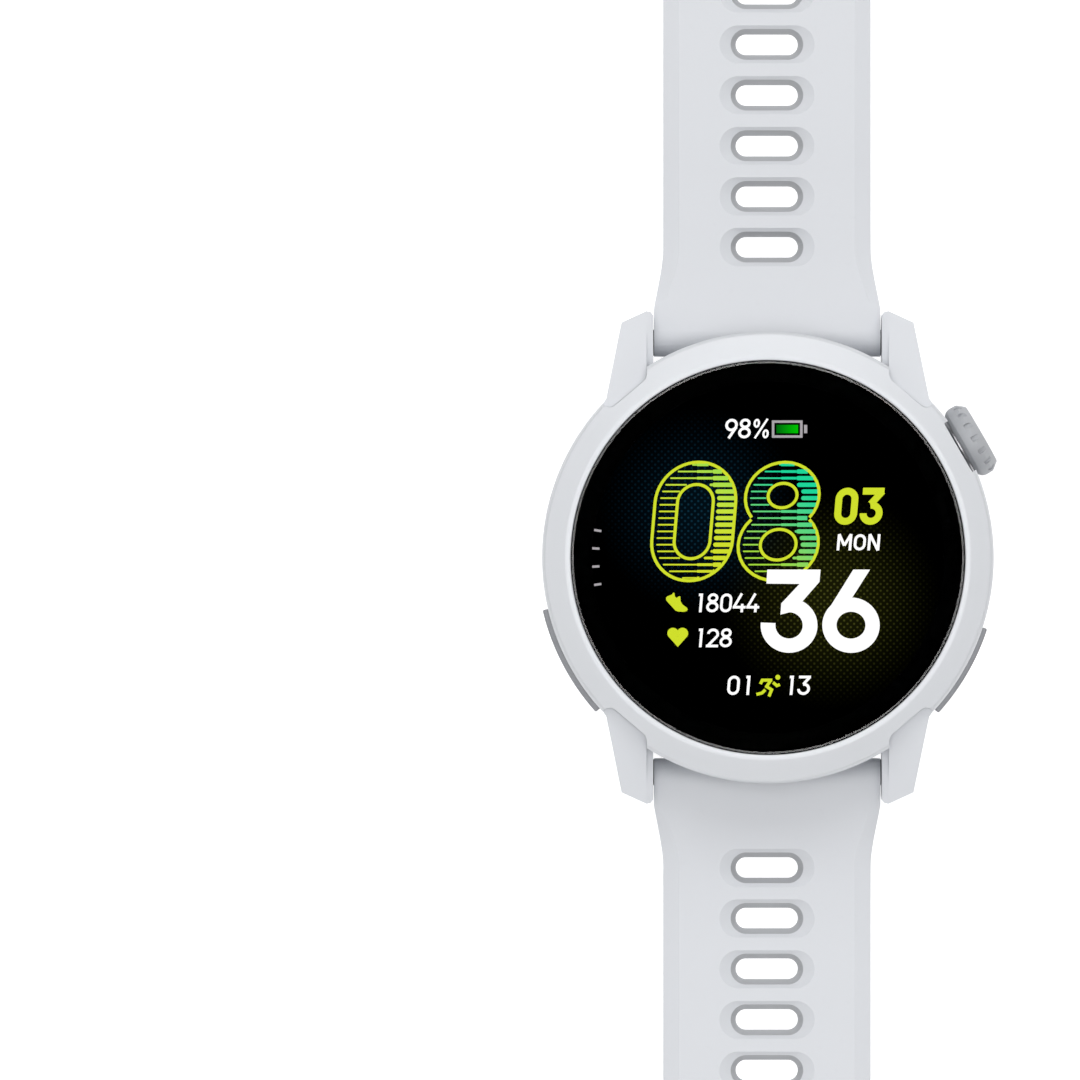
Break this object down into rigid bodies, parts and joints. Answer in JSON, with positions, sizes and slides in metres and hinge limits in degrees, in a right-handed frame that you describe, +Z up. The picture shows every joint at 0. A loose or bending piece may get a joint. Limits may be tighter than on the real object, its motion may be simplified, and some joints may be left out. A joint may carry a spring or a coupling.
{
  "type": "gps running watch",
  "caption": "Round running watch with satellite positioning, lying open, with a crown, side buttons, perforated silicone straps, a pin buckle and a tail stud.",
  "frame": {"origin": "centre of the rear sensor window's lowest flat face, which the case rests on", "axes": "+Z up through the dial, +Y towards twelve o'clock and along the strap with the buckle, +X towards three o'clock and the crown"},
  "size_m": [0.0438, 0.2584, 0.0118],
  "materials": {
    "case_polymer": "fine satin, pale pearl grey",
    "bezel_metal": "satin pale silver",
    "clear_glass": "polished, flat, clear",
    "seal_rubber": "moulded black seal",
    "display_black": "polished deep black",
    "antenna_metal": "gold plated",
    "inner_plastic": "moulded dark plastic",
    "circuit_board": "green solder mask",
    "battery_foil": "dull foil pouch",
    "hidden_steel": "stainless steel",
    "control_metal": "satin anodised grey",
    "buckle_metal": "satin bead-blasted grey",
    "strap_silicone": "soft matt silicone, pale grey",
    "stud_plastic": "smooth mid grey"
  },
  "bodies": {
    "case": {"mid_case": "case_polymer", "bezel": "bezel_metal", "lens": "clear_glass", "lens_gasket": "seal_rubber", "display_panel": "display_black", "antenna_ring": "antenna_metal", "inner_frame": "inner_plastic", "main_board": "circuit_board", "board_shield": "hidden_steel", "battery": "battery_foil", "pressure_sensor": "hidden_steel", "rear_cover": "case_polymer", "rear_cover_gasket": "seal_rubber", "sensor_window": "display_black", "sensor_board": "circuit_board", "rear_screw_1": "hidden_steel", "rear_screw_2": "hidden_steel", "rear_screw_3": "hidden_steel", "rear_screw_4": "hidden_steel", "charging_block": "inner_plastic", "charging_contact_1": "antenna_metal", "charging_contact_2": "antenna_metal", "charging_contact_3": "antenna_metal", "charging_contact_4": "antenna_metal", "motor_can": "hidden_steel", "crown_tube": "hidden_steel", "crown_switch": "inner_plastic", "back_button_switch": "inner_plastic", "action_button_switch": "inner_plastic"},
    "motor_rotor": {"motor_rotor": "hidden_steel"},
    "crown_slider": {"crown_push_plate": "hidden_steel"},
    "crown": {"crown_knob": "control_metal", "crown_stem": "hidden_steel", "crown_seal": "seal_rubber", "crown_clip": "hidden_steel", "crown_magnet": "inner_plastic"},
    "back_button": {"back_button_cap": "control_metal", "back_button_plunger": "hidden_steel", "back_button_seal": "seal_rubber"},
    "action_button": {"action_button_cap": "control_metal", "action_button_plunger": "hidden_steel", "action_button_seal": "seal_rubber"},
    "upper_strap": {"upper_strap": "strap_silicone", "upper_bar_tube": "hidden_steel", "upper_bar_fixed_tip": "hidden_steel", "upper_bar_spring": "hidden_steel", "buckle_bar_tube": "hidden_steel", "buckle_bar_left_tip": "hidden_steel", "buckle_bar_right_tip": "hidden_steel", "buckle_bar_spring": "hidden_steel"},
    "upper_release": {"upper_bar_release_tip": "hidden_steel"},
    "lower_strap": {"lower_strap": "strap_silicone", "lower_bar_tube": "hidden_steel", "lower_bar_fixed_tip": "hidden_steel", "lower_bar_spring": "hidden_steel", "locking_stud": "stud_plastic"},
    "lower_release": {"lower_bar_release_tip": "hidden_steel"},
    "buckle": {"buckle_frame": "buckle_metal"},
    "tang": {"buckle_tang": "buckle_metal"}
  },
  "joints": [
    {"name": "crown_press", "type": "slide", "parent": "case", "child": "crown_slider", "axis": [-0.866, -0.5, 0], "range_m": [0, 0.0003], "stiffness_N_per_m": 1500, "springref_m": -0.0004},
    {"name": "crown_turn", "type": "hinge", "parent": "crown_slider", "child": "crown", "pos_m": [0.01862, 0.01075, 0.0063], "axis": [0.866, 0.5, 0], "continuous": true},
    {"name": "back_button_press", "type": "slide", "parent": "case", "child": "back_button", "axis": [-0.8647, 0.5023, 0], "range_m": [0, 0.00035], "stiffness_N_per_m": 1500, "springref_m": -0.0004},
    {"name": "action_button_press", "type": "slide", "parent": "case", "child": "action_button", "axis": [0.8862, 0.4633, 0], "range_m": [0, 0.00035], "stiffness_N_per_m": 1500, "springref_m": -0.0004},
    {"name": "motor_spin", "type": "hinge", "parent": "case", "child": "motor_rotor", "pos_m": [0, -0.012, 0.0048], "axis": [0, 0, 1], "continuous": true},
    {"name": "upper_strap_hinge", "type": "hinge", "parent": "case", "child": "upper_strap", "pos_m": [0, 0.02135, 0.0036], "axis": [1, 0, 0], "range_deg": [-65, 40]},
    {"name": "lower_strap_hinge", "type": "hinge", "parent": "case", "child": "lower_strap", "pos_m": [0, -0.02135, 0.0036], "axis": [-1, 0, 0], "range_deg": [-65, 40]},
    {"name": "upper_release_slide", "type": "slide", "parent": "upper_strap", "child": "upper_release", "axis": [1, 0, 0], "range_m": [0, 0.00105], "stiffness_N_per_m": 400, "springref_m": -0.002, "deforming": ["upper_bar_spring"]},
    {"name": "lower_release_slide", "type": "slide", "parent": "lower_strap", "child": "lower_release", "axis": [-1, 0, 0], "range_m": [0, 0.00105], "stiffness_N_per_m": 400, "springref_m": -0.002, "deforming": ["lower_bar_spring"]},
    {"name": "buckle_hinge", "type": "hinge", "parent": "upper_strap", "child": "buckle", "pos_m": [0, 0.1022, 0.0016], "axis": [-1, 0, 0], "range_deg": [-75, 95]},
    {"name": "tang_hinge", "type": "hinge", "parent": "buckle", "child": "tang", "pos_m": [0, 0.1022, 0.0016], "axis": [1, 0, 0], "range_deg": [0, 120]}
  ]
}
